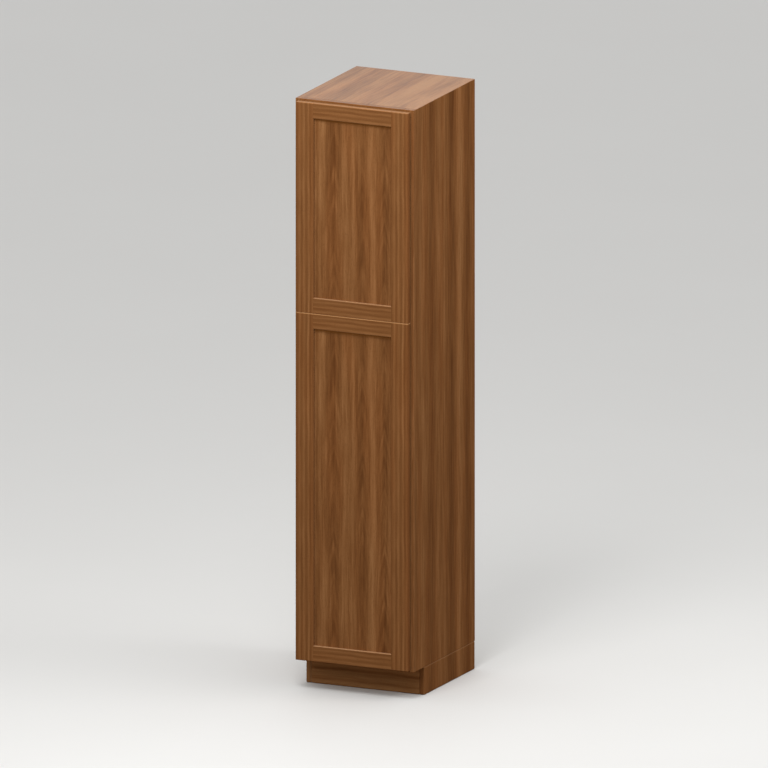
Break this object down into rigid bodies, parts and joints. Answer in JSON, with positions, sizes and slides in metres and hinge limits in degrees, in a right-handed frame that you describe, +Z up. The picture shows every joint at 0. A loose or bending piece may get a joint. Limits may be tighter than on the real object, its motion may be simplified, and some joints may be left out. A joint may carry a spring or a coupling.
{
  "type": "linen cabinet",
  "caption": "Tall narrow linen cabinet with framed flat-panel doors on concealed hinges, adjustable shelves behind them, a face frame and a recessed toe-kick base.",
  "frame": {"origin": "middle of the cabinet's bounding box, doors included, at floor level", "axes": "+Z up, the doors face -Y, +X to the right of someone facing the doors"},
  "size_m": [0.4572, 0.5364, 2.1336],
  "materials": {
    "stained_wood": "brown stain under a satin clear coat",
    "interior_laminate": "satin light maple laminate",
    "nickel_steel": "satin nickel plate",
    "bumper_rubber": "soft clear"
  },
  "bodies": {
    "carcass": {"left_end_panel": "stained_wood", "right_end_panel": "stained_wood", "top_panel": "stained_wood", "bottom_panel": "interior_laminate", "center_shelf": "interior_laminate", "back_panel": "interior_laminate", "hanging_rail": "interior_laminate", "frame_left_stile": "stained_wood", "frame_right_stile": "stained_wood", "frame_top_rail": "stained_wood", "frame_mid_rail": "stained_wood", "frame_bottom_rail": "stained_wood", "toe_kick_board": "stained_wood", "base_left_side": "stained_wood", "base_right_side": "stained_wood", "base_rear_rail": "stained_wood", "upper_shelf_1": "interior_laminate", "lower_shelf_1": "interior_laminate", "lower_shelf_2": "interior_laminate", "upper_shelf_1_pin_left_front": "nickel_steel", "upper_shelf_1_pin_left_rear": "nickel_steel", "upper_shelf_1_pin_right_front": "nickel_steel", "upper_shelf_1_pin_right_rear": "nickel_steel", "lower_shelf_1_pin_left_front": "nickel_steel", "lower_shelf_1_pin_left_rear": "nickel_steel", "lower_shelf_1_pin_right_front": "nickel_steel", "lower_shelf_1_pin_right_rear": "nickel_steel", "lower_shelf_2_pin_left_front": "nickel_steel", "lower_shelf_2_pin_left_rear": "nickel_steel", "lower_shelf_2_pin_right_front": "nickel_steel", "lower_shelf_2_pin_right_rear": "nickel_steel", "upper_door_hinge_arm_1": "nickel_steel", "upper_door_hinge_arm_2": "nickel_steel", "lower_door_hinge_arm_1": "nickel_steel", "lower_door_hinge_arm_2": "nickel_steel", "lower_door_hinge_arm_3": "nickel_steel"},
    "upper_door": {"upper_door_left_stile": "stained_wood", "upper_door_right_stile": "stained_wood", "upper_door_top_rail": "stained_wood", "upper_door_bottom_rail": "stained_wood", "upper_door_panel": "stained_wood", "upper_door_hinge_cup_1": "nickel_steel", "upper_door_hinge_cup_2": "nickel_steel", "upper_door_hinge_pin_1": "nickel_steel", "upper_door_hinge_pin_2": "nickel_steel", "upper_door_bumper_bottom": "bumper_rubber", "upper_door_bumper_top": "bumper_rubber"},
    "lower_door": {"lower_door_left_stile": "stained_wood", "lower_door_right_stile": "stained_wood", "lower_door_top_rail": "stained_wood", "lower_door_bottom_rail": "stained_wood", "lower_door_panel": "stained_wood", "lower_door_hinge_cup_1": "nickel_steel", "lower_door_hinge_cup_2": "nickel_steel", "lower_door_hinge_cup_3": "nickel_steel", "lower_door_hinge_pin_1": "nickel_steel", "lower_door_hinge_pin_2": "nickel_steel", "lower_door_hinge_pin_3": "nickel_steel", "lower_door_bumper_bottom": "bumper_rubber", "lower_door_bumper_top": "bumper_rubber"}
  },
  "joints": [
    {"name": "upper_door_swing", "type": "hinge", "parent": "carcass", "child": "upper_door", "pos_m": [-0.2079, -0.25765, 1.7462], "axis": [0, 0, -1], "range_deg": [0, 105]},
    {"name": "lower_door_swing", "type": "hinge", "parent": "carcass", "child": "lower_door", "pos_m": [-0.2079, -0.25765, 0.73705], "axis": [0, 0, -1], "range_deg": [0, 105]}
  ]
}
